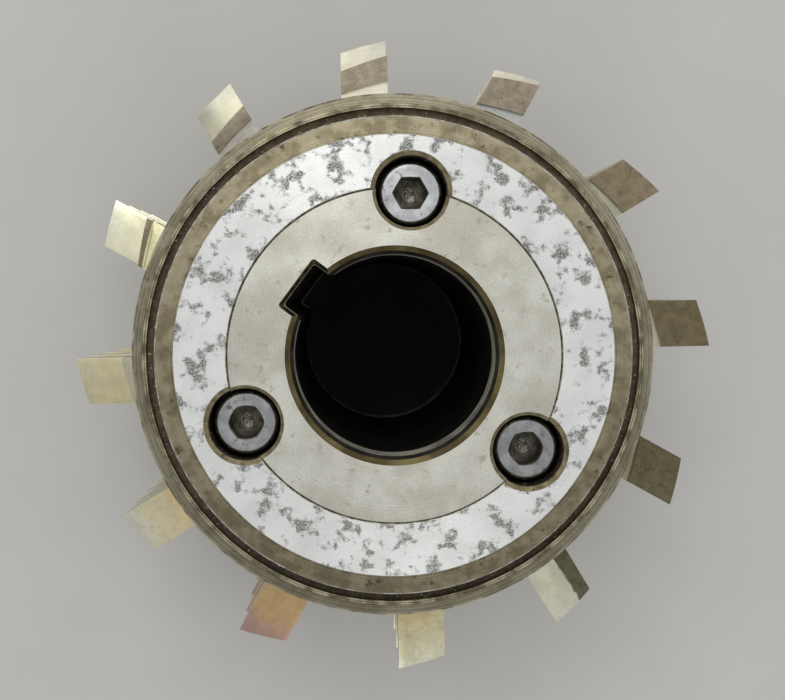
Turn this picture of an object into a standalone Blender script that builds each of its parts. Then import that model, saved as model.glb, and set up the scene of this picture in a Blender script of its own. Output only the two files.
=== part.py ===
"""Inserted-rack milling cutter on a keyed 40 mm bore: hub, twelve toothed racks, covers, rings and screws.

Metres, +Z up. The bore axis is the Z axis and the rear face lies on z = 0.
"""

import math

import bmesh
import bpy
from mathutils import Matrix, Vector

MM = 0.001
FIT_GAP = 0.3 * MM

# Hub
HUB_LENGTH = 72.0 * MM
BORE_R = 20.0 * MM
BORE_CHAMFER = 1.5 * MM
COLLAR_R = 32.85 * MM
BODY_R = 49.8 * MM
BODY_INSET = 10.8 * MM
RECESS_R = 41.9 * MM
RECESS_DEPTH = 18.0 * MM
HUB_STEPS = 48

# Keyway
KEYWAY_WIDTH = 10.0 * MM
KEYWAY_FLOOR_R = 23.5 * MM
KEYWAY_ANGLE = math.radians(143.5)

# Racks
RACK_COUNT = 12
RACK_START_ANGLE = math.radians(1.15)
RACK_THICKNESS = 9.6 * MM
RACK_FOOT_R = 43.9 * MM
RACK_TONGUE_R = 46.9 * MM
RACK_TONGUE_INSET = 5.5 * MM
RACK_END_INSET = 10.5 * MM
NECK_STEP = 0.8 * MM
NECK_TOP_R = 56.1 * MM
TIP_R = 66.0 * MM
TOOTH_HEIGHT = 9.4 * MM
TOOTH_PITCH = 12.5 * MM
CREST_WIDTH = 2.8 * MM
FRONT_FLANK = math.radians(3.0)
BACK_FLANK = math.radians(30.0)
THREAD_START = 1.81
GROUND_BACK_ROWS = (2, 3, 4, 5)
RELIEF_DROP = 2.6 * MM

# Covers
COVER_BORE_R = 33.15 * MM
COVER_SLEEVE_R = 41.6 * MM
COVER_LAND_R = 43.5 * MM
COVER_FLANGE_R = 47.2 * MM
COVER_FLANGE_THICKNESS = 5.2 * MM
COVER_LAND_STEP = 0.6 * MM
COVER_SLEEVE_DEPTH = RECESS_DEPTH - FIT_GAP

# Retaining rings
RING_INNER_R = 48.8 * MM
RING_OUTER_R = 51.9 * MM
RING_TOP_INSET = 2.5 * MM
RING_FOOT_INSET = RACK_END_INSET - FIT_GAP
RING_LIP_WIDTH = 0.8 * MM
RING_LIP_HEIGHT = 0.3 * MM
RING_CHAMFER = 0.4 * MM

# Fasteners, M8 x 1.25 cap screws 20 mm long
SCREW_COUNT = 3
SCREW_CIRCLE_R = 32.3 * MM
SCREW_START_ANGLE = math.radians(84.4)
SCREW_HEAD_R = 6.5 * MM
SCREW_HEAD_HEIGHT = 8.0 * MM
SCREW_HEAD_INSET = 2.8 * MM
SCREW_HEAD_CHAMFER = 0.6 * MM
SCREW_SHANK_R = 3.9 * MM
SCREW_SHANK_LENGTH = 20.0 * MM
SCREW_STEPS = 24
HEX_FLATS = 6.0 * MM
HEX_DEPTH = 4.0 * MM
COVER_POCKET_R = 8.1 * MM
HUB_POCKET_R = 7.6 * MM
POCKET_DEPTH = 13.2 * MM
CLEARANCE_R = 4.5 * MM
THREAD_HOLE_R = 4.2 * MM
THREAD_HOLE_DEPTH = 33.5 * MM
WASHER_OUTER_R = 6.35 * MM
WASHER_INNER_R = 4.3 * MM
WASHER_THICKNESS = 1.8 * MM
WASHER_SPLIT = 1.2 * MM

CUTTER_MARGIN = 2.0 * MM
SCREW_MERGE = 0.00001
FLAT_ANGLE = math.radians(1.0)
SMOOTH_ANGLE = math.radians(30.0)


def clear_scene():
    for obj in list(bpy.data.objects):
        bpy.data.objects.remove(obj, do_unlink=True)


def new_collection(name):
    collection = bpy.data.collections.new(name)
    bpy.context.scene.collection.children.link(collection)
    return collection


def new_object(name, mesh, collection):
    obj = bpy.data.objects.new(name, mesh)
    collection.objects.link(obj)
    return obj


def new_cutter(name, mesh, cutters):
    cutter = new_object(name, mesh, cutters)
    cutter.hide_render = True
    cutter.display_type = "WIRE"
    return cutter


def metal(name, colour, roughness):
    material = bpy.data.materials.new(name)
    material.use_nodes = True
    shader = material.node_tree.nodes["Principled BSDF"]
    shader.inputs["Base Color"].default_value = (*colour, 1.0)
    shader.inputs["Metallic"].default_value = 1.0
    shader.inputs["Roughness"].default_value = roughness
    return material


def turned_mesh(name, profile, steps):
    """A closed (radius, height) profile turned round the Z axis into a plain mesh."""
    bm = bmesh.new()
    points = [bm.verts.new((radius, 0.0, height)) for radius, height in profile]
    for first, second in zip(points, points[1:] + points[:1]):
        bm.edges.new((first, second))
    outline = bpy.data.meshes.new(name + "_outline")
    bm.to_mesh(outline)
    bm.free()
    helper = bpy.data.objects.new(name + "_helper", outline)
    bpy.context.scene.collection.objects.link(helper)
    screw = helper.modifiers.new("Turn", "SCREW")
    screw.axis = "Z"
    screw.steps = steps
    screw.render_steps = steps
    screw.use_merge_vertices = True
    screw.merge_threshold = SCREW_MERGE
    return applied_mesh(name, helper)


def applied_mesh(name, helper):
    """The evaluated mesh of a helper object, with its faces turned outwards; the helper is removed."""
    bpy.context.view_layer.update()
    graph = bpy.context.evaluated_depsgraph_get()
    mesh = bpy.data.meshes.new_from_object(helper.evaluated_get(graph))
    mesh.name = name
    mesh.transform(helper.matrix_world)
    bpy.data.objects.remove(helper, do_unlink=True)
    bm = bmesh.new()
    bm.from_mesh(mesh)
    bmesh.ops.remove_doubles(bm, verts=bm.verts, dist=SCREW_MERGE)
    bmesh.ops.recalc_face_normals(bm, faces=bm.faces)
    bm.to_mesh(mesh)
    bm.free()
    return mesh


def extruded_mesh(name, outline, thickness):
    """A closed (x, z) outline extruded along +Y from y = 0, with each cap as one flat face."""
    curve = bpy.data.curves.new(name + "_outline", "CURVE")
    curve.dimensions = "2D"
    curve.fill_mode = "BOTH"
    curve.extrude = thickness / 2.0
    spline = curve.splines.new("POLY")
    spline.points.add(len(outline) - 1)
    for point, (x, z) in zip(spline.points, outline):
        point.co = (x, z, 0.0, 1.0)
    spline.use_cyclic_u = True
    helper = bpy.data.objects.new(name + "_helper", curve)
    helper.matrix_world = Matrix.Translation((0.0, thickness / 2.0, 0.0)) @ Matrix.Rotation(math.pi / 2.0, 4, "X")
    bpy.context.scene.collection.objects.link(helper)
    mesh = applied_mesh(name, helper)
    bm = bmesh.new()
    bm.from_mesh(mesh)
    bmesh.ops.dissolve_limit(bm, angle_limit=FLAT_ANGLE, verts=bm.verts, edges=bm.edges)
    bm.to_mesh(mesh)
    bm.free()
    return mesh


def cylinder_mesh(name, radius, bottom, top, segments):
    bm = bmesh.new()
    bmesh.ops.create_cone(
        bm,
        cap_ends=True,
        segments=segments,
        radius1=radius,
        radius2=radius,
        depth=top - bottom,
        matrix=Matrix.Translation((0.0, 0.0, (top + bottom) / 2.0)),
    )
    mesh = bpy.data.meshes.new(name)
    bm.to_mesh(mesh)
    bm.free()
    return mesh


def box_mesh(name, low, high):
    low = Vector(low)
    high = Vector(high)
    size = high - low
    matrix = Matrix.Translation((low + high) / 2.0) @ Matrix.Diagonal((*size, 1.0))
    bm = bmesh.new()
    bmesh.ops.create_cube(bm, size=1.0, matrix=matrix)
    mesh = bpy.data.meshes.new(name)
    bm.to_mesh(mesh)
    bm.free()
    return mesh


def cut(obj, cutter):
    boolean = obj.modifiers.new("Cut " + cutter.name, "BOOLEAN")
    boolean.operation = "DIFFERENCE"
    boolean.solver = "EXACT"
    boolean.object = cutter


def smooth(obj):
    """Shades curved walls smooth and keeps the edges above the smoothing angle sharp."""
    mesh = obj.data
    mesh.polygons.foreach_set("use_smooth", [True] * len(mesh.polygons))
    mesh.set_sharp_from_angle(angle=SMOOTH_ANGLE)


def flipped(height, front):
    """A height measured down from the front face, or up from the rear face."""
    return HUB_LENGTH - height if front else height


def end_span(depth_a, depth_b, front):
    """The two heights, low then high, of a span given by its depths below one end face."""
    return sorted((flipped(depth_a, front), flipped(depth_b, front)))


def screw_angle(index):
    return SCREW_START_ANGLE + index * 2.0 * math.pi / SCREW_COUNT


def screw_centre(index):
    angle = screw_angle(index)
    return Vector((SCREW_CIRCLE_R * math.cos(angle), SCREW_CIRCLE_R * math.sin(angle), 0.0))


def rack_angle(index):
    """Angle of a rack's cutting face; racks are numbered clockwise from the one on the +X side."""
    return RACK_START_ANGLE - index * 2.0 * math.pi / RACK_COUNT


def pocket_cutter(name, radius, depth, index, front, cutters):
    low, high = end_span(-CUTTER_MARGIN, depth, front)
    cutter = new_cutter(name, cylinder_mesh(name, radius, low, high, SCREW_STEPS), cutters)
    cutter.location = screw_centre(index)
    return cutter


def hub_profile():
    length = HUB_LENGTH
    return [
        (BORE_R + BORE_CHAMFER, length),
        (COLLAR_R, length),
        (COLLAR_R, length - RECESS_DEPTH),
        (RECESS_R, length - RECESS_DEPTH),
        (RECESS_R, length - BODY_INSET),
        (BODY_R, length - BODY_INSET),
        (BODY_R, BODY_INSET),
        (RECESS_R, BODY_INSET),
        (RECESS_R, RECESS_DEPTH),
        (COLLAR_R, RECESS_DEPTH),
        (COLLAR_R, 0.0),
        (BORE_R + BORE_CHAMFER, 0.0),
        (BORE_R, BORE_CHAMFER),
        (BORE_R, length - BORE_CHAMFER),
    ]


def build_hub(parts, cutters):
    hub = new_object("hub_body", turned_mesh("hub_body", hub_profile(), HUB_STEPS), parts)
    keyway = new_cutter(
        "keyway_cutter",
        box_mesh(
            "keyway_cutter",
            (BORE_R / 2.0, -KEYWAY_WIDTH / 2.0, -CUTTER_MARGIN),
            (KEYWAY_FLOOR_R, KEYWAY_WIDTH / 2.0, HUB_LENGTH + CUTTER_MARGIN),
        ),
        cutters,
    )
    keyway.rotation_euler.z = KEYWAY_ANGLE
    cut(hub, keyway)
    slot_mesh = box_mesh(
        "slot_cutter",
        (RACK_FOOT_R - FIT_GAP, -FIT_GAP, 0.0),
        (BODY_R + CUTTER_MARGIN, RACK_THICKNESS + FIT_GAP, HUB_LENGTH),
    )
    for index in range(RACK_COUNT):
        slot = new_cutter(f"slot_cutter_{index + 1:02d}", slot_mesh, cutters)
        slot.rotation_euler.z = rack_angle(index)
        cut(hub, slot)
    for front in (True, False):
        side = "front" if front else "rear"
        for index in range(SCREW_COUNT):
            label = f"{side}_{index + 1}"
            cut(hub, pocket_cutter(f"hub_pocket_{label}", HUB_POCKET_R, POCKET_DEPTH, index, front, cutters))
            cut(hub, pocket_cutter(f"hub_clear_{label}", CLEARANCE_R, RECESS_DEPTH, index, front, cutters))
            cut(hub, pocket_cutter(f"hub_thread_{label}", THREAD_HOLE_R, THREAD_HOLE_DEPTH, index, front, cutters))
    smooth(hub)
    hub.data.materials.append(metal("Hub steel", (0.52, 0.48, 0.42), 0.42))


def tooth_corners(crest_front):
    """The (radius, height) corners of one tooth, from its front root corner to its back root corner."""
    root_r = TIP_R - TOOTH_HEIGHT
    crest_back = crest_front - CREST_WIDTH
    return [
        (root_r, crest_front + TOOTH_HEIGHT * math.tan(FRONT_FLANK)),
        (TIP_R, crest_front),
        (TIP_R, crest_back),
        (root_r, crest_back - TOOTH_HEIGHT * math.tan(BACK_FLANK)),
    ]


def radius_at(corners, height):
    for (r_high, z_high), (r_low, z_low) in zip(corners, corners[1:]):
        if z_low <= height <= z_high:
            share = (z_high - height) / (z_high - z_low)
            return r_high + share * (r_low - r_high)
    return TIP_R - TOOTH_HEIGHT


def rack_outline(row):
    """The (radius, height) outline of the rack in one row, seen on its cutting face."""
    front_z = HUB_LENGTH - RACK_END_INSET
    rear_z = RACK_END_INSET
    first_crest = front_z - (row - THREAD_START) * TOOTH_PITCH / RACK_COUNT
    corners = []
    for turn in range(-1, 6):
        corners += tooth_corners(first_crest - turn * TOOTH_PITCH)
    if row in GROUND_BACK_ROWS:
        top_z = first_crest + TOOTH_HEIGHT * math.tan(FRONT_FLANK)
        neck = [(RACK_TONGUE_R, top_z)]
    else:
        top_z = front_z
        neck = [
            (RACK_TONGUE_R, front_z - NECK_STEP),
            (NECK_TOP_R, front_z - NECK_STEP),
            (NECK_TOP_R, front_z),
        ]
    inside = [(r, z) for r, z in corners if rear_z < z < top_z]
    return [
        (RACK_FOOT_R, HUB_LENGTH - RACK_TONGUE_INSET),
        (RACK_TONGUE_R, HUB_LENGTH - RACK_TONGUE_INSET),
        *neck,
        (radius_at(corners, top_z), top_z),
        *inside,
        (radius_at(corners, rear_z), rear_z),
        (RACK_TONGUE_R, rear_z),
        (RACK_TONGUE_R, RACK_TONGUE_INSET),
        (RACK_FOOT_R, RACK_TONGUE_INSET),
    ]


def relieve(mesh):
    """Drops the tooth form towards the back of the rack, as form relief does."""
    for vertex in mesh.vertices:
        if vertex.co.x > RACK_TONGUE_R + FIT_GAP and vertex.co.y > RACK_THICKNESS / 2.0:
            vertex.co.x -= RELIEF_DROP


def build_rack(row, parts):
    name = f"rack_{row + 1:02d}"
    mesh = extruded_mesh(name, rack_outline(row), RACK_THICKNESS)
    relieve(mesh)
    rack = new_object(name, mesh, parts)
    rack.rotation_euler.z = rack_angle(row)
    rack.data.materials.append(metal(f"Rack steel {row + 1:02d}", (0.66, 0.60, 0.48), 0.30))


def end_profile(points, front):
    """A (radius, depth) profile placed at one end, kept in the order that turns it outwards."""
    placed = [(radius, flipped(depth, front)) for radius, depth in points]
    return placed if front else placed[::-1]


def build_cover(front, parts, cutters):
    side = "front" if front else "rear"
    name = f"{side}_cover"
    points = [
        (COVER_BORE_R, 0.0),
        (COVER_LAND_R, 0.0),
        (COVER_LAND_R, COVER_LAND_STEP),
        (COVER_FLANGE_R, COVER_LAND_STEP),
        (COVER_FLANGE_R, COVER_FLANGE_THICKNESS),
        (COVER_SLEEVE_R, COVER_FLANGE_THICKNESS),
        (COVER_SLEEVE_R, COVER_SLEEVE_DEPTH),
        (COVER_BORE_R, COVER_SLEEVE_DEPTH),
    ]
    cover = new_object(name, turned_mesh(name, end_profile(points, front), HUB_STEPS), parts)
    for index in range(SCREW_COUNT):
        label = f"{side}_{index + 1}"
        cut(cover, pocket_cutter(f"cover_pocket_{label}", COVER_POCKET_R, POCKET_DEPTH, index, front, cutters))
        through = COVER_SLEEVE_DEPTH + CUTTER_MARGIN
        cut(cover, pocket_cutter(f"cover_clear_{label}", CLEARANCE_R, through, index, front, cutters))
    smooth(cover)
    cover.data.materials.append(metal(f"{side.capitalize()} cover steel", (0.72, 0.71, 0.70), 0.28))


def build_ring(front, parts):
    side = "front" if front else "rear"
    name = f"{side}_ring"
    points = [
        (RING_INNER_R, RING_TOP_INSET - RING_LIP_HEIGHT),
        (RING_INNER_R + RING_LIP_WIDTH, RING_TOP_INSET - RING_LIP_HEIGHT),
        (RING_INNER_R + RING_LIP_WIDTH + RING_LIP_HEIGHT, RING_TOP_INSET),
        (RING_OUTER_R - RING_CHAMFER, RING_TOP_INSET),
        (RING_OUTER_R, RING_TOP_INSET + RING_CHAMFER),
        (RING_OUTER_R, RING_FOOT_INSET),
        (RING_INNER_R, RING_FOOT_INSET),
    ]
    ring = new_object(name, turned_mesh(name, end_profile(points, front), HUB_STEPS), parts)
    smooth(ring)
    ring.data.materials.append(metal(f"{side.capitalize()} ring steel", (0.30, 0.25, 0.17), 0.45))


def screw_profile():
    """Half section of a screw standing head up, its origin under the head."""
    return [
        (0.0, SCREW_HEAD_HEIGHT),
        (SCREW_HEAD_R - SCREW_HEAD_CHAMFER, SCREW_HEAD_HEIGHT),
        (SCREW_HEAD_R, SCREW_HEAD_HEIGHT - SCREW_HEAD_CHAMFER),
        (SCREW_HEAD_R, 0.0),
        (SCREW_SHANK_R, 0.0),
        (SCREW_SHANK_R, -SCREW_SHANK_LENGTH + SCREW_HEAD_CHAMFER),
        (SCREW_SHANK_R - SCREW_HEAD_CHAMFER, -SCREW_SHANK_LENGTH),
        (0.0, -SCREW_SHANK_LENGTH),
    ]


def place_fastener(obj, index, front, depth):
    """Stands a fastener on its screw axis, at a depth below one end face, pointing into the hub."""
    centre = screw_centre(index)
    obj.location = (centre.x, centre.y, flipped(depth, front))
    if not front:
        obj.rotation_euler.x = math.pi


def build_screws(front, parts, cutters):
    side = "front" if front else "rear"
    mesh = turned_mesh("cap_screw", screw_profile(), SCREW_STEPS)
    hex_radius = HEX_FLATS / 2.0 / math.cos(math.pi / 6.0)
    hex_low = SCREW_HEAD_HEIGHT - HEX_DEPTH
    hex_mesh = cylinder_mesh("hex_cutter", hex_radius, hex_low, SCREW_HEAD_HEIGHT + CUTTER_MARGIN, 6)
    for index in range(SCREW_COUNT):
        screw = new_object(f"{side}_screw_{index + 1}", mesh.copy(), parts)
        place_fastener(screw, index, front, SCREW_HEAD_INSET + SCREW_HEAD_HEIGHT)
        socket = new_cutter(f"hex_cutter_{side}_{index + 1}", hex_mesh, cutters)
        place_fastener(socket, index, front, SCREW_HEAD_INSET + SCREW_HEAD_HEIGHT)
        cut(screw, socket)
        smooth(screw)
        screw.data.materials.append(metal(f"{side.capitalize()} screw steel {index + 1}", (0.16, 0.16, 0.17), 0.40))


def build_washers(front, parts, cutters):
    side = "front" if front else "rear"
    profile = [
        (WASHER_INNER_R, WASHER_THICKNESS),
        (WASHER_OUTER_R, WASHER_THICKNESS),
        (WASHER_OUTER_R, 0.0),
        (WASHER_INNER_R, 0.0),
    ]
    mesh = turned_mesh("lock_washer", profile, SCREW_STEPS)
    split_mesh = box_mesh(
        "split_cutter",
        (WASHER_INNER_R / 2.0, -WASHER_SPLIT / 2.0, -CUTTER_MARGIN),
        (WASHER_OUTER_R + CUTTER_MARGIN, WASHER_SPLIT / 2.0, WASHER_THICKNESS + CUTTER_MARGIN),
    )
    for index in range(SCREW_COUNT):
        washer = new_object(f"{side}_washer_{index + 1}", mesh.copy(), parts)
        place_fastener(washer, index, front, POCKET_DEPTH - FIT_GAP)
        split = new_cutter(f"split_cutter_{side}_{index + 1}", split_mesh, cutters)
        place_fastener(split, index, front, POCKET_DEPTH - FIT_GAP)
        cut(washer, split)
        smooth(washer)
        washer.data.materials.append(metal(f"{side.capitalize()} washer steel {index + 1}", (0.35, 0.35, 0.36), 0.35))


def main():
    clear_scene()
    parts = new_collection("Inserted-rack milling cutter")
    cutters = new_collection("Cutters")
    build_hub(parts, cutters)
    for row in range(RACK_COUNT):
        build_rack(row, parts)
    for front in (True, False):
        build_cover(front, parts, cutters)
        build_ring(front, parts)
        build_screws(front, parts, cutters)
        build_washers(front, parts, cutters)


main()
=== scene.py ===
"""Looks for an inserted-rack milling cutter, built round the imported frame.

The bore axis is the Z axis. Shapes are drawn in millimetres and scaled to metres when a piece is placed.
"""

import math

import bmesh
import bpy
from mathutils import Matrix, Vector


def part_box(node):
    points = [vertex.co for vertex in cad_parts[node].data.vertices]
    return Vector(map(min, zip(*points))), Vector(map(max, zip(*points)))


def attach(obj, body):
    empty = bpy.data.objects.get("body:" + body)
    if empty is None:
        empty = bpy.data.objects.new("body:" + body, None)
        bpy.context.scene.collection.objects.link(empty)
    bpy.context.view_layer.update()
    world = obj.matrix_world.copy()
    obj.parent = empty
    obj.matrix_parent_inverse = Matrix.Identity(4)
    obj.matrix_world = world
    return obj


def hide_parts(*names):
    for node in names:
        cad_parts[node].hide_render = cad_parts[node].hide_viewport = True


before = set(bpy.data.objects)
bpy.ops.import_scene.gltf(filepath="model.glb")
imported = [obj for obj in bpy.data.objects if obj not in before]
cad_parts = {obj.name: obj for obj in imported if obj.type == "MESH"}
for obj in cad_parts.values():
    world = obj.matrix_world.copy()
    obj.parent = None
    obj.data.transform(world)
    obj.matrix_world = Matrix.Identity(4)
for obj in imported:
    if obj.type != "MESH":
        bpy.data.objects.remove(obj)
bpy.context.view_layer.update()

MM = 0.001
TURN = 2.0 * math.pi


def box_mm(node):
    low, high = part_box(node)
    return low / MM, high / MM


# Lengths taken from the frame
LENGTH = box_mm("hub_body")[1].z
FLANGE_R = box_mm("front_cover")[1].x
COVER_DEPTH = LENGTH - box_mm("front_cover")[0].z
RING_R = box_mm("front_ring")[1].x
RING_FOOT = LENGTH - box_mm("front_ring")[0].z
RING_LIP = LENGTH - box_mm("front_ring")[1].z
TONGUE_LOW = box_mm("rack_01")[0].z
TONGUE_HIGH = box_mm("rack_01")[1].z
HEAD_TOP = LENGTH - box_mm("front_screw_1")[1].z
WASHER_DEPTH = LENGTH - box_mm("front_washer_1")[0].z
WASHER_THICKNESS = box_mm("front_washer_1")[1].z - box_mm("front_washer_1")[0].z

# Hub: the CAD part's sizes, but for a broader bore chamfer and a closer joint line round the collar.
# The bore wall is painted lighter down to a short way below its chamfer and near black below that, as
# painted shade deeper in the bore.
BORE_R = 20.0
BORE_CHAMFER = 1.65
CHAMFER_FOOT = 0.65
BORE_LIT_DEPTH = 7.0
COLLAR_R = 32.95
BODY_R = 49.8
BODY_INSET = 10.8
RECESS_R = 41.9
RECESS_DEPTH = 18.0
EDGE = 0.2
TURN_STEPS = 192

# Mesh work. A SPARE or SINK further down is how far a shape runs past a face, for a clean cut or join.
JOIN_DISTANCE = 0.0005
CUT_DISTANCE = 0.0001
FLAT_ANGLE = math.radians(0.05)
SHARP_BEVEL = math.radians(40.0)
SHARP_SHADING = math.radians(28.0)

# Keyway, with its inner side cut back to break the corners along the bore
KEY_ANGLE = math.radians(143.5)
KEY_HALF = 5.0
KEY_FLOOR = 23.5
KEY_CHAMFER = 0.75
KEY_LIP = 0.12
KEY_CORNER_R = 0.7
KEY_CORNER_STEPS = 5
KEY_INSIDE_R = 10.0
KEY_BREAK = 0.9
KEY_BREAK_R = 18.95
KEY_SIDE_R = 19.8
KEY_SPARE = 1.0

# Covers and rings
COVER_BORE_R = 33.05
SLEEVE_R = 41.6
SLEEVE_CHAMFER = 0.5
LAND_R = 43.5
LAND_EDGE = 0.15
LAND_STEP = 0.6
FLANGE_CHAMFER = 0.3
FLANGE_DEPTH = 5.2
RING_BORE_R = 48.95
RING_FACE = 2.5
RING_CHAMFER = 0.4
RING_FOOT_CHAMFER = 0.3
RING_SLOPE = 1.0
LEDGE_DEPTH = 1.4
LEDGE_HEIGHT = 0.6
LEDGE_GAP = 0.1
RING_LINES = 4
RING_LINES_INSIDE = 1.15
RING_LINES_OUTSIDE = 0.55

# Racks
RACK_COUNT = 12
RACK_START = math.radians(1.15)
RACK_THICKNESS = 9.6
RACK_SLICES = 6
RACK_BEVEL = 0.15
RACK_FOOT_R = 43.9
RACK_SLOT_R = 54.0
RACK_SLOT_GAP = 0.3
TONGUE_R = 46.9
TOOTH_SINK = 1.0
WEDGE_SINK = 0.05
END_FRONT = LENGTH - 10.5
END_REAR = 10.5
END_SPARE = 2.0
NECK_STEP = 0.8
NECK_R = 56.1
TIP_R = 66.0
ROOT_R = 55.9
PITCH = 12.5
CREST = 2.15
THINNEST_TOOTH = 1.5
FIRST_TOOTH = -2
LAST_TOOTH = 6
FLANK_SLOPE = math.tan(math.radians(0.15))
BACK_SLOPE = math.tan(math.radians(30.0))
THREAD_START = 1.775
GROUND_ROWS = (2, 3, 4, 5)
RELIEF = 2.6

# Fasteners; wear rounds a socket, twist turns a screw in place, tone darkens its top
SCREW_COUNT = 3
SCREW_CIRCLE = 32.3
SCREW_START = math.radians(84.4)
SCREW_WEAR = (0.1, 0.6, 0.5)
SCREW_TWIST = (0.524, 0.56, 0.65)
SCREW_TONE = (1.0, 0.62, 0.56)
HEAD_HEIGHT = 8.0
HEAD_R = 6.5
HEAD_STEPS = 96
KNURL_DEPTH = 0.17
SOCKET_HALF = 3.0
SOCKET_DEPTH = 4.0
SOCKET_CHAMFER = 0.22
SOCKET_EDGE_DEPTH = 0.3
SOCKET_POINT = 0.5
SOCKET_WORN = 1.09
SHANK_R = 3.9
SHANK_LENGTH = 20.0
SHANK_STEPS = 48
THREAD_PITCH = 1.25
THREAD_ROOT_R = 3.25
THREAD_TOP = -5.0
THREAD_SLICES = 7
THREAD_CREST = 0.12
THREAD_FLANK = 0.7
POINT_LENGTH = 0.9
POINT_STEP = 0.25
WASHER_INNER_R = 4.3
WASHER_OUTER_R = 6.35
WASHER_EDGE = 0.2
WASHER_GAP = 1.2
WASHER_STEPS = 72

# Screw wells
COVER_WELL_R = 7.2
COVER_MOUTH_R = 8.1
HUB_WELL_R = 6.98
HUB_MOUTH_R = 7.65
MOUTH_DEPTH = 0.5
WELL_DEPTH = 13.2
WELL_STEPS = 64
CLEAR_R = 4.5
TAP_R = 4.2
TAP_DEPTH = 33.5
CUT_SPARE = 2.0

# Stage: lengths in metres, the floor's grain as a noise scale
FLOOR_R = 6.0
FLOOR_STEPS = 96
FLOOR_GRAIN = 40.0
FLOOR_ROUGH = 0.85
FLOOR_DARK = (0.56, 0.55, 0.53, 1.0)
FLOOR_LIGHT = (0.62, 0.61, 0.59, 1.0)
FLOOR_GAP = 0.0004
FLOOR_REACH = 0.0032
# Painted shade: a near-black disc on the floor around the axis, seen only through the bore.
BORE_SHADE_R = 0.032
BORE_SHADE_CORE = 0.8
BORE_SHADE_COLOUR = (0.015, 0.015, 0.014, 1.0)
WORLD_DIM = 0.36
WORLD_BRIGHT = 1.0
WORLD_COLOUR = (0.98, 0.985, 0.98, 1.0)
# Name, place, width, power in watts, colour
LIGHTS = (
    ("key", (-0.15, 0.50, 0.72), 0.50, 1.1, (1.0, 0.98, 0.95)),
    ("low", (0.10, -0.66, 0.55), 0.50, 0.8, (1.0, 0.99, 0.97)),
)

# Camera: its place and sensor in millimetres, its range in metres
CAMERA_POSITION = Vector((-8.8, 11.8, 270.5))
CAMERA_RIGHT = Vector((0.99947, 0.0, 0.0325))
CAMERA_BACK = Vector((-0.0325, 0.0126, 0.9994))
CAMERA_SENSOR = 36.0
CAMERA_LENS = 46.5
CAMERA_SHIFT = (0.0117, -0.0532)
CAMERA_RANGE = (0.01, 20.0)

MIRROR = Matrix.Translation((0.0, 0.0, LENGTH)) @ Matrix.Diagonal((1.0, 1.0, -1.0, 1.0))

# Material numbers of each kind of piece, in the order of its list of materials
FACE, CHAMFER, BORE, DARK, BODY, MOUTH, WELL, FLOOR, KEY, KEY_EDGE, SLOT, EDGES, BORE_TOP = range(13)
LAND, ANNULUS, COVER_WALL, COVER_MOUTH, COVER_WELL, COVER_EDGE = range(6)
RING_TOP, RING_WALL, RING_LIPS, RING_BORE = range(4)
FLANK, END, NECK, RACK_EDGE, CRESTS, BACKS, ROOTS, CUT_FACE, REAR_FACE, TONGUE = range(10)
HEAD_FLAT, HEAD_SIDE, SOCKET, SOCKET_EDGE, SOCKET_CENTRE, THREAD, HEAD_EDGE = range(7)
MOST_MATERIALS = 13

# The lip round the groove, as (distance outside the ring's bore, depth below the lip, slot)
RING_LIP_SECTION = (
    (0.0, 0.08, RING_LIPS),
    (0.08, 0.0, RING_LIPS),
    (0.26, 0.0, RING_LIPS),
    (0.36, 0.16, RING_WALL),
    (0.46, 0.16, RING_LIPS),
    (0.56, 0.02, RING_LIPS),
    (0.74, 0.02, RING_LIPS),
)

# One turned line in the ring's face, as (share of the spacing, depth)
RING_LINE_SECTION = ((0.0, 0.0), (0.30, 0.012), (0.62, 0.012), (0.80, 0.0))

# The socket's floor from its middle, as (radius, depth below the floor, slot)
SOCKET_FLOOR_SECTION = ((0.6, 0.45, SOCKET_CENTRE), (1.5, 0.2, SOCKET), (2.3, 0.0, SOCKET))

# The screw head's top from the socket outwards, as (radius, depth below the top, slot)
HEAD_TOP_SECTION = (
    (4.6, 0.02, HEAD_FLAT),
    (5.65, 0.0, HEAD_EDGE),
    (5.95, 0.09, HEAD_EDGE),
    (6.2, 0.32, HEAD_EDGE),
    (6.33, 0.6, HEAD_SIDE),
)

# The head's knurl starts this far below its top and ends this high above its underside
KNURL_TOP = 0.8
KNURL_FOOT = 0.9

# The head's underside from its rim to the shank, as (radius, height, steps, slot)
HEAD_FOOT_SECTION = (
    (6.33, 0.7, HEAD_STEPS, HEAD_SIDE),
    (6.1, 0.0, HEAD_STEPS, HEAD_SIDE),
    (4.2, 0.0, HEAD_STEPS, THREAD),
    (SHANK_R, -0.3, SHANK_STEPS, THREAD),
)


# -------- colours and patterns

GRIT_RUST = (190, 110, 80)
GRIT_PALE = (250, 244, 232)
SCREW_BRIGHT = (224, 226, 228)
SCREW_STAIN = (120, 114, 102)
RACK_BRIGHT_EDGE = (248, 244, 224)

# The brown skin left on unground steel
BROWN = (104, 98, 76)
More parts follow.
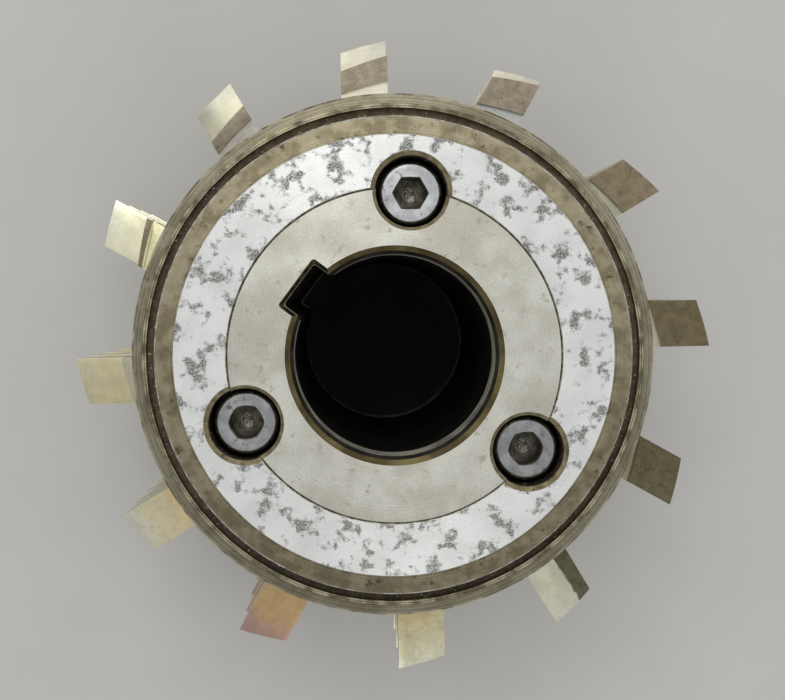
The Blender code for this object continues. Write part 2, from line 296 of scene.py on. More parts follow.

# For each row, as display colours: the flank near the ring, in its middle and at its tip, the end face, the
# neck; then how far back the ground strip reaches, or 0 for all the way, and the stain. Along a flank the
# colours are temper colours; from row to row they are lit and shaded copies of one finish: painted light
# and shade, lighter towards the top and darker towards the lower right. The light necks of some rows are
# painted reflections of the ring wall.
ROW_FINISH_AND_LIGHT = (
    ((196, 190, 166), (196, 190, 166), (196, 190, 166), (124, 114, 86), (200, 194, 170), 0, None),
    ((196, 190, 166), (196, 190, 166), (196, 190, 166), (114, 107, 80), (170, 160, 130), 0, None),
    ((226, 224, 202), (222, 220, 196), (216, 214, 196), (106, 100, 78), BROWN, 6.6, None),
    ((214, 196, 150), (222, 216, 178), (226, 224, 200), (110, 102, 78), BROWN, 0, (180, 140, 84)),
    ((206, 178, 130), (204, 172, 128), (186, 154, 144), (110, 102, 78), BROWN, 0, (176, 138, 104)),
    ((228, 206, 160), (224, 216, 182), (218, 217, 202), (120, 112, 84), BROWN, 0, (212, 172, 112)),
    ((222, 212, 172), (222, 212, 172), (222, 214, 184), (140, 130, 108), (196, 192, 168), 0, None),
    ((252, 244, 204), (253, 249, 216), (253, 251, 226), (150, 138, 114), (255, 253, 205), 0, None),
    ((196, 190, 156), (188, 186, 162), (186, 185, 168), (158, 148, 130), (206, 202, 192), 0, None),
    ((228, 222, 194), (228, 223, 198), (230, 226, 208), (170, 159, 140), (240, 236, 212), 0, None),
    ((232, 228, 204), (232, 228, 204), (232, 228, 206), (166, 154, 134), (194, 196, 190), 0, None),
    ((220, 216, 192), (220, 216, 192), (220, 216, 192), (150, 136, 110), (190, 190, 166), 0, None),
)

# Patterns: sizes in millimetres, and the noise levels between which one tone turns into the other
TONE_STEP = (0.36, 0.64)
GRAIN_SIZE = 0.45
GRAIN_HEIGHT = 0.5
GRAIN_ROUGH = 0.22
STAIN_EDGE = 0.1
STAIN_ROUGH = 0.12
PIT_SHARE = 0.9
PIT_ROUGH = 0.3
PIT_METAL = 0.6
PIT_DEPTH = 1.5
BROAD_BLEMISH = 4.5
RAGGED_BLEMISH = 1.6
BROAD_SHARE = 0.6
BLEMISH_EDGE = 0.09
SPECKLE_SIZE = 0.3
SPECKLE_STEP = (0.38, 0.58)
# Painted shade: colour darkens where ambient occlusion finds a corner or recess within this reach.
CORNER_SHADE_REACH = 1.6
CORNER_SHADE_STEP = (0.25, 0.95)
GRIT_STEP = (0.66, 0.7)
GRIT_PATCH = 2.0
GRIT_PATCH_STEP = (0.45, 0.55)
BUMP_STRENGTH = 0.6
RING_SWAY = 0.12
# Machining marks: size, detail, stretch
MARKS = {"axial": (0.22, 2.0, (1.0, 1.0, 0.03)), "level": (0.3, 2.0, (0.02, 0.02, 1.0))}
TEMPER_WANDER = 9.0
TEMPER_MIDDLE = (53.0, 58.5)
TEMPER_TIP = (59.5, 65.0)
STREAK_PITCH = 0.28
SKIN_WANDER = 2.4
SKIN_EDGE = 0.25


# -------- materials


def srgb(red, green, blue):
    """Linear colour of a display colour, which runs from 0 to 255."""
    linear = []
    for level in (red, green, blue):
        share = level / 255.0
        linear.append(share / 12.92 if share <= 0.04045 else ((share + 0.055) / 1.055) ** 2.4)
    return (*linear, 1.0)


def darker(colour, share):
    """A linear colour with its light cut to a share."""
    return (*(level * share for level in colour[:3]), 1.0)


class Look:
    """One node material. Patterns are laid out in millimetres in the piece's own frame."""

    def __init__(self, name):
        self.material = bpy.data.materials.new(name)
        self.material.use_nodes = True
        self.tree = self.material.node_tree
        self.shader = self.tree.nodes["Principled BSDF"]
        self.place = self.node("Attribute", attribute_name="local").outputs["Vector"]

    def node(self, kind, inputs=None, **settings):
        """A new shader node with these inputs and settings."""
        made = self.tree.nodes.new("ShaderNode" + kind)
        for key, value in settings.items():
            setattr(made, key, value)
        for key, value in (inputs or {}).items():
            self.feed(made.inputs[key], value)
        return made

    def feed(self, socket, value):
        if isinstance(value, bpy.types.NodeSocket):
            self.tree.links.new(value, socket)
        else:
            socket.default_value = value

    def math(self, operation, first, second, clamp=False):
        made = self.node("Math", {0: first, 1: second}, operation=operation, use_clamp=clamp)
        return made.outputs[0]

    def plus(self, first, second):
        return self.math("ADD", first, second)

    def minus(self, first, second, clamp=False):
        return self.math("SUBTRACT", first, second, clamp)

    def times(self, first, second, clamp=False):
        return self.math("MULTIPLY", first, second, clamp)

    def radius(self):
        flat = self.node("VectorMath", {0: self.place, 1: (1.0, 1.0, 0.0)}, operation="MULTIPLY")
        return self.node("VectorMath", {0: flat.outputs[0]}, operation="LENGTH").outputs["Value"]

    def noise(self, size, detail, stretch=(1.0, 1.0, 1.0), shift=0.0, rough=0.55):
        inputs = {"Vector": self.place, "Location": (shift, shift * 0.7, shift * 1.3), "Scale": stretch}
        moved = self.node("Mapping", inputs)
        inputs = {"Vector": moved.outputs[0], "Scale": 1.0 / size, "Detail": detail, "Roughness": rough}
        return self.node("TexNoise", inputs).outputs[0]

    def rings(self, pitch):
        """Fine concentric lines left by turning or grinding."""
        sway = self.times(self.noise(9.0, 1.0), RING_SWAY)
        along = self.plus(self.radius(), sway)
        inputs = {"W": along, "Scale": 1.0 / pitch, "Detail": 2.0, "Roughness": 0.6}
        return self.node("TexNoise", inputs, noise_dimensions="1D").outputs[0]

    def step(self, value, low, high):
        inputs = {"Value": value, "From Min": low, "From Max": high}
        return self.node("MapRange", inputs, interpolation_type="SMOOTHSTEP").outputs[0]

    def span(self, value, low, high):
        inputs = {"Value": value, "To Min": low, "To Max": high}
        return self.node("MapRange", inputs).outputs[0]

    def mix(self, share, first, second):
        made = self.node("Mix", data_type="RGBA")
        self.feed(made.inputs[0], share)
        self.feed(made.inputs[6], first)
        self.feed(made.inputs[7], second)
        return made.outputs[2]

    def scale(self, colour, factor):
        """A colour made lighter or darker by a factor socket."""
        made = self.node("VectorMath", {0: colour, "Scale": factor}, operation="SCALE")
        return made.outputs[0]

    def blemishes(self, cover, shift):
        """Soft clusters of fine dark speckle: 1 in a blemish, 0 on clean metal."""
        broad = self.noise(BROAD_BLEMISH, 2.0, shift=shift)
        broad = self.times(broad, BROAD_SHARE)
        ragged = self.noise(RAGGED_BLEMISH, 5.0, shift=shift + 5.0, rough=0.68)
        ragged = self.times(ragged, 1.0 - BROAD_SHARE)
        patch = self.step(self.plus(broad, ragged), 1.0 - cover, 1.0 + BLEMISH_EDGE - cover)
        speckle = self.step(self.noise(SPECKLE_SIZE, 2.0, shift=shift + 9.0), *SPECKLE_STEP)
        return self.times(patch, self.span(speckle, 0.45, 1.0))

    def finish(self, colour, rough, metal, height=None, depth=0.02, turned=0.0):
        self.feed(self.shader.inputs["Base Color"], colour)
        self.feed(self.shader.inputs["Roughness"], rough)
        self.feed(self.shader.inputs["Metallic"], metal)
        if height is not None:
            inputs = {"Height": height, "Strength": BUMP_STRENGTH, "Distance": depth * MM}
            self.feed(self.shader.inputs["Normal"], self.node("Bump", inputs).outputs[0])
        if turned:
            tangent = self.node("Tangent", direction_type="RADIAL", axis="Z")
            self.feed(self.shader.inputs["Tangent"], tangent.outputs[0])
            self.feed(self.shader.inputs["Anisotropic"], turned)
            self.feed(self.shader.inputs["Anisotropic Rotation"], 0.25)
        return self.material


def steel(name, light, dark, rough=0.42, metal=0.9, blotch=3.0, lines=None, line_depth=0.12, turned=0.0,
          stain=None, pits=None, corner_shade=0.0, depth=0.015, shift=0.0, fine=0.14, sheen=0.5, side_light=0.0,
          grit=False):
    """A worn steel: two tones in soft blotches, machining lines, stains, rust pits and painted shade in
    corners.

    Colours are linear. Lines is "axial", "level" or a pitch; stain is (colour, cover, size); pits is
    (cover, colour); a share of painted light makes the colour lighter towards +Y and darker towards -Y.
    """
    look = Look(name)
    look.feed(look.shader.inputs["Specular IOR Level"], sheen)
    broad = look.noise(blotch, 4.0, shift=shift)
    grain = look.noise(GRAIN_SIZE, 3.0, shift=shift)
    colour = look.mix(look.step(broad, *TONE_STEP), dark, light)
    colour = look.scale(colour, look.span(grain, 1.0 - fine, 1.0 + fine))
    height = look.times(grain, GRAIN_HEIGHT)
    uneven = look.times(look.minus(grain, 0.5), GRAIN_ROUGH)
    rough_at = look.plus(uneven, rough)
    if lines:
        marks = look.noise(*MARKS[lines]) if lines in MARKS else look.rings(lines)
        colour = look.scale(colour, look.span(marks, 1.0 - line_depth, 1.0 + line_depth))
        height = look.plus(height, marks)
    if stain:
        stain_colour, stain_cover, stain_size = stain
        edge = look.noise(stain_size, 5.0, shift=shift + 31.0, rough=0.68)
        cover = look.step(edge, 1.0 - stain_cover, 1.0 + STAIN_EDGE - stain_cover)
        cover = look.times(cover, look.span(grain, 0.55, 1.15), clamp=True)
        colour = look.mix(cover, colour, stain_colour)
        rough_at = look.plus(rough_at, look.times(cover, STAIN_ROUGH))
    # Painted light: the colour is lighter towards +Y and darker towards -Y, as if lit from that side.
    if side_light:
        side = look.node("SeparateXYZ", {0: look.place}).outputs["Y"]
        side_light_factor = look.plus(look.times(side, side_light / FLANGE_R), 1.0)
        colour = look.scale(colour, side_light_factor)
    metal_at = metal
    if pits:
        cover, pit_colour = pits
        pit = look.blemishes(cover, shift)
        colour = look.mix(look.times(pit, PIT_SHARE), colour, pit_colour)
        rough_at = look.plus(rough_at, look.times(pit, PIT_ROUGH))
        metal_at = look.minus(metal, look.times(pit, PIT_METAL), clamp=True)
        height = look.minus(height, look.times(pit, PIT_DEPTH))
    # Painted shade: the colour darkens in corners and recesses found by ambient occlusion.
    if corner_shade:
        reach = {"Distance": CORNER_SHADE_REACH * MM}
        hidden = look.node("AmbientOcclusion", reach, samples=4).outputs["AO"]
        colour = look.scale(colour, look.span(look.step(hidden, *CORNER_SHADE_STEP), 1.0 - corner_shade, 1.0))
    if grit:
        crumbs = look.step(look.noise(GRAIN_SIZE, 2.0, shift=shift + 20.0), *GRIT_STEP)
        patch = look.step(look.noise(GRIT_PATCH, 1.0, shift=shift), *GRIT_PATCH_STEP)
        tint = look.mix(patch, srgb(*GRIT_RUST), srgb(*GRIT_PALE))
        colour = look.mix(crumbs, colour, tint)
        metal_at = look.minus(metal, crumbs, clamp=True)
    return look.finish(colour, rough_at, metal_at, height, depth, turned)


# -------- mesh tools


def ring_at(radii, height):
    """A closed ring of points at one height, with one radius for each point."""
    steps = len(radii)
    return [
        (radius * math.cos(TURN * i / steps), radius * math.sin(TURN * i / steps), height)
        for i, radius in enumerate(radii)
    ]


def circle(radius, height, steps):
    return ring_at([radius] * steps, height)


def rows_of(bm, rings):
    return [[bm.verts.new(point) for point in ring] for ring in rings]


def band(bm, low, high, slot):
    """Faces between two closed rows, which may differ in length by a whole factor."""
    count = max(len(low), len(high))
    for i in range(count):
        j = (i + 1) % count
        corners = [
            low[i * len(low) // count],
            low[j * len(low) // count],
            high[j * len(high) // count],
            high[i * len(high) // count],
        ]
        bm.faces.new(list(dict.fromkeys(corners))).material_index = slot


def stack(bm, rings, slots, closed=False):
    """Joins closed rings into a skin; slots holds the material number of the band after each ring."""
    rows = rows_of(bm, rings)
    for low, high, slot in zip(rows, rows[1:], slots):
        band(bm, low, high, slot)
    if closed:
        band(bm, rows[-1], rows[0], slots[len(rows) - 1])


def turned(profile):
    """A closed (radius, height, slot) profile turned round Z."""
    bm = bmesh.new()
    rings = [circle(radius, height, TURN_STEPS) for radius, height, _ in profile]
    stack(bm, rings, [slot for _, _, slot in profile], closed=True)
    return outward(bm)


def prism(outline, low, high, slot):
    """An (x, y) outline extruded from one height to another."""
    bm = bmesh.new()
    rows = rows_of(bm, [[(x, y, z) for x, y in outline] for z in (low, high)])
    for i in range(len(outline)):
        j = (i + 1) % len(outline)
        bm.faces.new((rows[0][i], rows[0][j], rows[1][j], rows[1][i])).material_index = slot
    for row in rows:
        bm.faces.new(row).material_index = slot
    return outward(bm)


def outward(bm):
    """The closed bmesh with its faces turned outwards."""
    bmesh.ops.recalc_face_normals(bm, faces=bm.faces)
    return bm


def to_mesh(bm, name):
    mesh = bpy.data.meshes.new(name)
    bm.to_mesh(mesh)
    bm.free()
    return mesh


def new_object(name, data):
    obj = bpy.data.objects.new(name, data)
    bpy.context.scene.collection.objects.link(obj)
    return obj


def merged(items):
    """One mesh from (bmesh, matrix) pairs whose shapes don't touch."""
    whole = bmesh.new()
    for bm, matrix in items:
        part = to_mesh(bm, "part")
        part.transform(matrix)
        if matrix.determinant() < 0.0:
            part.flip_normals()
        whole.from_mesh(part)
        bpy.data.meshes.remove(part)
    return whole


def add_empty_slots(obj, count):
    for _ in range(count):
        obj.data.materials.append(None)


def modified(obj):
    """The object's mesh after its modifiers, as a bmesh."""
    bpy.context.view_layer.update()
    graph = bpy.context.evaluated_depsgraph_get()
    made = bpy.data.meshes.new_from_object(obj.evaluated_get(graph))
    result = bmesh.new()
    result.from_mesh(made)
    bpy.data.meshes.remove(made)
    return result


def remove_object(obj):
    mesh = obj.data
    bpy.data.objects.remove(obj)
    bpy.data.meshes.remove(mesh)


def combine(bm, other, operation):
    """The exact Boolean of two closed bmeshes. Material numbers are kept."""
    base = new_object("base", to_mesh(bm, "base"))
    tool = new_object("tool", to_mesh(other, "tool"))
    boolean = base.modifiers.new("Boolean", "BOOLEAN")
    boolean.operation = operation
    boolean.solver = "EXACT"
    boolean.object = tool
    for target in (base, tool):
        add_empty_slots(target, MOST_MATERIALS)
    result = modified(base)
    remove_object(base)
    remove_object(tool)
    bmesh.ops.remove_doubles(result, verts=result.verts, dist=JOIN_DISTANCE)
    return result


def bevelled(bm, width, slot):
    """The bmesh with its sharp edges broken, the narrow new faces in their own material slot."""
    obj = new_object("bevel", to_mesh(bm, "bevel"))
    add_empty_slots(obj, slot + 1)
    bevel = obj.modifiers.new("Bevel", "BEVEL")
    bevel.width = width
    bevel.segments = 2
    bevel.limit_method = "ANGLE"
    bevel.angle_limit = SHARP_BEVEL
    bevel.use_clamp_overlap = True
    bevel.material = slot
    result = modified(obj)
    remove_object(obj)
    return result


def place(name, bm, matrix, materials, body, node=None):
    """Makes a piece: keeps its millimetre frame for the patterns, moves it and rides it on its body."""
    mesh = to_mesh(bm, name)
    local = mesh.attributes.new("local", "FLOAT_VECTOR", "POINT")
    local.data.foreach_set("vector", [value for vertex in mesh.vertices for value in vertex.co])
    mesh.transform(Matrix.Scale(MM, 4) @ matrix)
    if matrix.determinant() < 0.0:
        mesh.flip_normals()
    mesh.polygons.foreach_set("use_smooth", [True] * len(mesh.polygons))
    mesh.set_sharp_from_angle(angle=SHARP_SHADING)
    for material in materials:
        mesh.materials.append(material)
    piece = new_object(name, mesh)
    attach(piece, body)
    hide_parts(node or body)


def from_face(profile):
    """A (radius, depth below the front face, slot) profile as (radius, height, slot)."""
    return [(radius, LENGTH - depth, slot) for radius, depth, slot in profile]


def side_name(front):
    return "front" if front else "rear"


def fastener_matrix(index, front, depth):
    """A fastener's place at a depth below its end face, with its own Z axis pointing outwards."""
    angle = SCREW_START + index * TURN / SCREW_COUNT
    x = SCREW_CIRCLE * math.cos(angle)
    y = SCREW_CIRCLE * math.sin(angle)
    if front:
        return Matrix.Translation((x, y, LENGTH - depth))
    return Matrix.Translation((x, y, depth)) @ Matrix.Rotation(math.pi, 4, "X")


# -------- hub


def well_cutter(radius, mouth_r, mouth, wall, floor, through):
    """A screw well: broad broken mouth, wall, floor, clearance hole and, in the hub, the tapping hole."""
    top_r = mouth_r + (mouth_r - radius) * CUT_SPARE / MOUTH_DEPTH
    section = [
        (top_r, CUT_SPARE),
        (radius, -MOUTH_DEPTH),
        (radius, -WELL_DEPTH),
        (CLEAR_R, -WELL_DEPTH),
    ]
    if through:
        section.append((CLEAR_R, -COVER_DEPTH - CUT_SPARE))
        bottom = -COVER_DEPTH - CUT_SPARE
    else:
        section += [(CLEAR_R, -RECESS_DEPTH), (TAP_R, -RECESS_DEPTH), (TAP_R, -TAP_DEPTH)]
        bottom = -TAP_DEPTH - CUT_SPARE
    rings = [[(0.0, 0.0, CUT_SPARE)]]
    rings += [circle(ring_r, height, WELL_STEPS) for ring_r, height in section]
    rings.append([(0.0, 0.0, bottom)])
    slots = [wall, mouth, wall] + [floor] * (len(rings) - 4)
    bm = bmesh.new()
    stack(bm, rings, slots)
    return outward(bm)


def keyway_cutter():
    """The keyway with its mouth chamfer at both faces and broken corners along the bore."""
    levels = [
        (LENGTH + KEY_SPARE, KEY_CHAMFER + KEY_SPARE),
        (LENGTH - KEY_CHAMFER, KEY_LIP),
        (LENGTH - KEY_CHAMFER - 2.0 * KEY_LIP, 0.0),
        (KEY_CHAMFER + 2.0 * KEY_LIP, 0.0),
        (KEY_CHAMFER, KEY_LIP),
        (-KEY_SPARE, KEY_CHAMFER + KEY_SPARE),
    ]
    rings = []
    for height, grow in levels:
        half = KEY_HALF + grow
        floor = KEY_FLOOR + grow
        upper = [(KEY_INSIDE_R, half + KEY_BREAK), (KEY_BREAK_R, half + KEY_BREAK), (KEY_SIDE_R, half)]
        for step in range(KEY_CORNER_STEPS + 1):
            angle = math.pi / 2.0 * step / KEY_CORNER_STEPS
            x = floor - KEY_CORNER_R + KEY_CORNER_R * math.sin(angle)
            y = half - KEY_CORNER_R + KEY_CORNER_R * math.cos(angle)
            upper.append((x, y))
        outline = upper + [(x, -y) for x, y in reversed(upper)]
        rings.append([(x, y, height) for x, y in outline])
    bm = bmesh.new()
    rows = rows_of(bm, rings)
    # The keyway walls take the bore's lighter band near each face and the near-black painted shade between.
    for low, high, slot in zip(rows, rows[1:], (KEY_EDGE, BORE_TOP, KEY, BORE_TOP, KEY_EDGE)):
        band(bm, low, high, slot)
    bm.faces.new(rows[0])
    bm.faces.new(rows[-1])
    return outward(bm)


def hub_half():
    """Front half of the hub outline, from the bore outwards to the body, as (radius, depth, slot)."""
    return [
        (BORE_R, BORE_LIT_DEPTH, BORE_TOP),
        (BORE_R, BORE_CHAMFER, KEY),
        (BORE_R + CHAMFER_FOOT, BORE_CHAMFER - CHAMFER_FOOT, CHAMFER),
        (BORE_R + BORE_CHAMFER, 0.0, FACE),
        (COLLAR_R - EDGE, 0.0, EDGES),
        (COLLAR_R, EDGE, DARK),
        (COLLAR_R, RECESS_DEPTH, DARK),
        (RECESS_R, RECESS_DEPTH, DARK),
        (RECESS_R, BODY_INSET, DARK),
        (BODY_R - EDGE, BODY_INSET, DARK),
        (BODY_R, BODY_INSET + EDGE, BODY),
    ]


def hub_profile():
    """The front half and its mirror, where each band takes its slot from the point before it."""
    half = hub_half()
    slots = [BORE] + [slot for _, _, slot in half[:-1]]
    rear = [(radius, depth, slot) for (radius, depth, _), slot in zip(half, slots)]
    return from_face(half) + rear[::-1]


def build_hub(materials):
    bm = turned(hub_profile())
    cutters = [(keyway_cutter(), Matrix.Rotation(KEY_ANGLE, 4, "Z"))]
    inner = RACK_FOOT_R - RACK_SLOT_GAP
    near = -RACK_SLOT_GAP
    far = RACK_THICKNESS + RACK_SLOT_GAP
    outline = [(inner, near), (RACK_SLOT_R, near), (RACK_SLOT_R, far), (inner, far)]
    for row in range(RACK_COUNT):
        cutters.append((prism(outline, 0.0, LENGTH, SLOT), rack_matrix(row)))
    for front in (True, False):
        for index in range(SCREW_COUNT):
            well = well_cutter(HUB_WELL_R, HUB_MOUTH_R, MOUTH, WELL, FLOOR, False)
            cutters.append((well, fastener_matrix(index, front, 0.0)))
    bm = combine(bm, merged(cutters), "DIFFERENCE")
    place("hub", bm, Matrix.Identity(4), materials, "hub", "hub_body")


# -------- covers and rings


def build_cover(front, materials):
    side = side_name(front)
    profile = from_face([
        (COVER_BORE_R, COVER_DEPTH, COVER_WALL),
        (COVER_BORE_R, EDGE, COVER_EDGE),
        (COVER_BORE_R + EDGE, 0.0, LAND),
        (LAND_R - LAND_EDGE, 0.0, COVER_EDGE),
        (LAND_R, LAND_EDGE, ANNULUS),
        (LAND_R, LAND_STEP, ANNULUS),
        (FLANGE_R - FLANGE_CHAMFER, LAND_STEP, COVER_EDGE),
        (FLANGE_R, LAND_STEP + FLANGE_CHAMFER, COVER_WALL),
        (FLANGE_R, FLANGE_DEPTH, COVER_WALL),
        (SLEEVE_R, FLANGE_DEPTH, COVER_WALL),
        (SLEEVE_R, COVER_DEPTH - SLEEVE_CHAMFER, COVER_WALL),
        (SLEEVE_R - SLEEVE_CHAMFER, COVER_DEPTH, COVER_WALL),
    ])
    wells = []
    for index in range(SCREW_COUNT):
        well = well_cutter(COVER_WELL_R, COVER_MOUTH_R, COVER_MOUTH, COVER_WELL, COVER_WALL, True)
        wells.append((well, fastener_matrix(index, True, 0.0)))
    bm = combine(turned(profile), merged(wells), "DIFFERENCE")
    matrix = Matrix.Identity(4) if front else MIRROR
    place(f"cover_{side}", bm, matrix, materials, f"{side}_cover")


def build_ring(front, materials):
    side = side_name(front)
    ledge = RING_LIP + LEDGE_DEPTH
    profile = [
        (RING_BORE_R, RING_FOOT, RING_WALL),
        (RING_BORE_R, ledge + LEDGE_HEIGHT, RING_WALL),
        (FLANGE_R + LEDGE_GAP, ledge + LEDGE_HEIGHT, RING_WALL),
        (FLANGE_R + LEDGE_GAP, ledge, RING_BORE),
        (RING_BORE_R, ledge, RING_BORE),
    ]
    profile += [(RING_BORE_R + across, RING_LIP + down, slot) for across, down, slot in RING_LIP_SECTION]
    profile.append((RING_BORE_R + RING_SLOPE, RING_FACE, RING_TOP))
    first = RING_BORE_R + RING_LINES_INSIDE
    spacing = (RING_R - RING_LINES_OUTSIDE - first) / RING_LINES
    for line in range(RING_LINES):
        start = first + line * spacing
        for share, down in RING_LINE_SECTION:
            profile.append((start + share * spacing, RING_FACE + down, RING_TOP))
    profile += [
        (RING_R - RING_CHAMFER, RING_FACE, RING_LIPS),
        (RING_R, RING_FACE + RING_CHAMFER, RING_WALL),
        (RING_R, RING_FOOT - RING_FOOT_CHAMFER, RING_WALL),
        (RING_R - RING_FOOT_CHAMFER, RING_FOOT, RING_WALL),
    ]
    matrix = Matrix.Identity(4) if front else MIRROR
    place(f"ring_{side}", turned(from_face(profile)), matrix, materials, f"{side}_ring")


# -------- racks


def rack_matrix(row):
    return Matrix.Rotation(RACK_START - row * TURN / RACK_COUNT, 4, "Z")


def relief(y):
    """How far the tooth form has dropped at a distance behind the cutting face."""
    bow = y * y / (2.0 * TIP_R)
    end_bow = RACK_THICKNESS * RACK_THICKNESS / (2.0 * TIP_R)
    return bow + (RELIEF - end_bow) * y / RACK_THICKNESS


def bar_outline(row):
    """(radius, height, slot) points of a row's tooth form, longer than the rack at both ends."""
    inner = TONGUE_R - TOOTH_SINK
    first = END_FRONT - (row - THREAD_START) * PITCH / RACK_COUNT
    ground = row in GROUND_ROWS
    points = []
    for tooth in range(0 if ground else FIRST_TOOTH, LAST_TOOTH + 1):
        crest = first - tooth * PITCH
        if crest < END_REAR + THINNEST_TOOTH:
            break
        start = inner if ground and tooth == 0 else ROOT_R
        points += [
            (start, crest + (TIP_R - start) * FLANK_SLOPE, FLANK),
            (TIP_R, crest, CRESTS),
            (TIP_R, crest - CREST, BACKS),
            (ROOT_R, crest - CREST - (TIP_R - ROOT_R) * BACK_SLOPE, ROOTS),
        ]
    if not ground:
        points.insert(0, (inner, points[0][1] + TOOTH_SINK, ROOTS))
    beyond = END_REAR - END_SPARE
    points += [(ROOT_R, beyond, ROOTS), (inner, beyond, ROOTS)]
    return points


def tooth_bar(row):
    """The tooth form swept back from the cutting face: it drops with the relief and follows the thread."""
    outline = bar_outline(row)
    rings = []
    for step in range(RACK_SLICES + 1):
        y = RACK_THICKNESS * step / RACK_SLICES
        rise = PITCH * y / (TURN * (TIP_R + ROOT_R) / 2.0)
        rings.append([
            (radius - (relief(y) if radius > TONGUE_R else 0.0), y, height + rise)
            for radius, height, _ in outline
        ])
    bm = bmesh.new()
    rows = rows_of(bm, rings)
    count = len(outline)
    for near, far in zip(rows, rows[1:]):
        for i in range(count):
            j = (i + 1) % count
            bm.faces.new((near[i], near[j], far[j], far[i])).material_index = outline[i][2]
    bm.faces.new(rows[0]).material_index = CUT_FACE
    bm.faces.new(rows[-1]).material_index = REAR_FACE
    for height, normal in ((END_FRONT, 1.0), (END_REAR, -1.0)):
        cut_flat(bm, height, normal)
    return outward(bm)


def cut_flat(bm, height, normal):
    """Cuts everything beyond a level plane and closes the opening."""
    geometry = bm.verts[:] + bm.edges[:] + bm.faces[:]
    plane = {"plane_co": (0.0, 0.0, height), "plane_no": (0.0, 0.0, normal)}
    bmesh.ops.bisect_plane(bm, geom=geometry, dist=CUT_DISTANCE, clear_outer=True, **plane)
    open_edges = [edge for edge in bm.edges if len(edge.link_faces) == 1]
    if open_edges:
        for face in bmesh.ops.holes_fill(bm, edges=open_edges, sides=0)["faces"]:
            face.material_index = END


def neck_cutter():
    """Takes the front end of a rack down to the neck, between the tongue and the root of the teeth."""
    inner = TONGUE_R - WEDGE_SINK
    depths = [RACK_THICKNESS * step / RACK_SLICES for step in range(-1, RACK_SLICES + 2)]
    outline = [(inner, depths[0])] + [(NECK_R - relief(y), y) for y in depths] + [(inner, depths[-1])]
    return prism(outline, END_FRONT - NECK_STEP, END_FRONT + TOOTH_SINK, NECK)


def build_rack(row, materials):
    foot = [(RACK_FOOT_R, 0.0), (TONGUE_R, 0.0), (TONGUE_R, RACK_THICKNESS), (RACK_FOOT_R, RACK_THICKNESS)]
    bm = combine(tooth_bar(row), prism(foot, TONGUE_LOW, TONGUE_HIGH, TONGUE), "UNION")
    if row not in GROUND_ROWS:
        bm = combine(bm, neck_cutter(), "DIFFERENCE")
    bmesh.ops.dissolve_limit(
        bm, angle_limit=FLAT_ANGLE, verts=bm.verts, edges=bm.edges, delimit={"MATERIAL"}
    )
    bm = bevelled(bm, RACK_BEVEL, RACK_EDGE)
    name = f"rack_{row + 1:02d}"
    place(f"toothed_{name}", bm, rack_matrix(row), materials, name)


# -------- fasteners


def socket_ring(height, wear, half=SOCKET_HALF):
    """Hexagon ring whose corners are rubbed towards a circle by the wear share."""
    radii = []
    for i in range(HEAD_STEPS):
        angle = TURN * i / HEAD_STEPS
        corner = half / math.cos((angle + TURN / 12.0) % (TURN / 6.0) - TURN / 12.0)
        radii.append(corner + wear * (half * SOCKET_WORN - corner))
    return ring_at(radii, height)


def knurl_ring(height):
    return ring_at([HEAD_R - (KNURL_DEPTH if i % 2 else 0.0) for i in range(HEAD_STEPS)], height)


def thread_ring(height):
    """A ring of a right-hand thread at one height, fading in below its top."""
    radii = []
    share = min(1.0, (THREAD_TOP - height) / THREAD_PITCH)
    for i in range(SHANK_STEPS):
        phase = (height / THREAD_PITCH - i / SHANK_STEPS) % 1.0
        crest = min(1.0, max(0.0, (abs(phase - 0.5) * 2.0 - THREAD_CREST) / THREAD_FLANK))
        radii.append(SHANK_R - share * (1.0 - crest) * (SHANK_R - THREAD_ROOT_R))
    return ring_at(radii, height)


def screw_mesh(wear):
    """A socket cap screw with its head standing on height 0 and its shank below."""
    top = HEAD_HEIGHT
    floor = top - SOCKET_DEPTH
    rings = [([(0.0, 0.0, floor - SOCKET_POINT)], SOCKET_CENTRE)]
    for radius, down, slot in SOCKET_FLOOR_SECTION:
        rings.append((circle(radius, floor - down, HEAD_STEPS), slot))
    rings += [
        (socket_ring(floor, wear), SOCKET),
        (socket_ring(top - SOCKET_EDGE_DEPTH, wear), SOCKET_EDGE),
        (socket_ring(top, wear, SOCKET_HALF + SOCKET_CHAMFER), HEAD_FLAT),
    ]
    rings += [(circle(radius, top - down, HEAD_STEPS), slot) for radius, down, slot in HEAD_TOP_SECTION]
    rings += [(knurl_ring(top - KNURL_TOP), HEAD_SIDE), (knurl_ring(KNURL_FOOT), HEAD_SIDE)]
    rings += [(circle(radius, height, steps), slot) for radius, height, steps, slot in HEAD_FOOT_SECTION]
    end = -SHANK_LENGTH + POINT_LENGTH
    steps = int((THREAD_TOP - end) / THREAD_PITCH * THREAD_SLICES)
    for step in range(steps + 1):
        rings.append((thread_ring(THREAD_TOP + (end - THREAD_TOP) * step / steps), THREAD))
    rings.append((circle(THREAD_ROOT_R - POINT_STEP, -SHANK_LENGTH, SHANK_STEPS), THREAD))
    rings.append(([(0.0, 0.0, -SHANK_LENGTH)], THREAD))
    bm = bmesh.new()
    stack(bm, [ring for ring, _ in rings], [slot for _, slot in rings])
    return outward(bm)


def build_screw(index, front, materials):
    side = side_name(front)
    matrix = fastener_matrix(index, front, HEAD_TOP + HEAD_HEIGHT)
    matrix = matrix @ Matrix.Rotation(SCREW_TWIST[index], 4, "Z")
    bm = screw_mesh(SCREW_WEAR[index])
    body = f"{side}_screw_{index + 1}"
    place(f"cap_screw_{side}_{index + 1}", bm, matrix, materials, body)


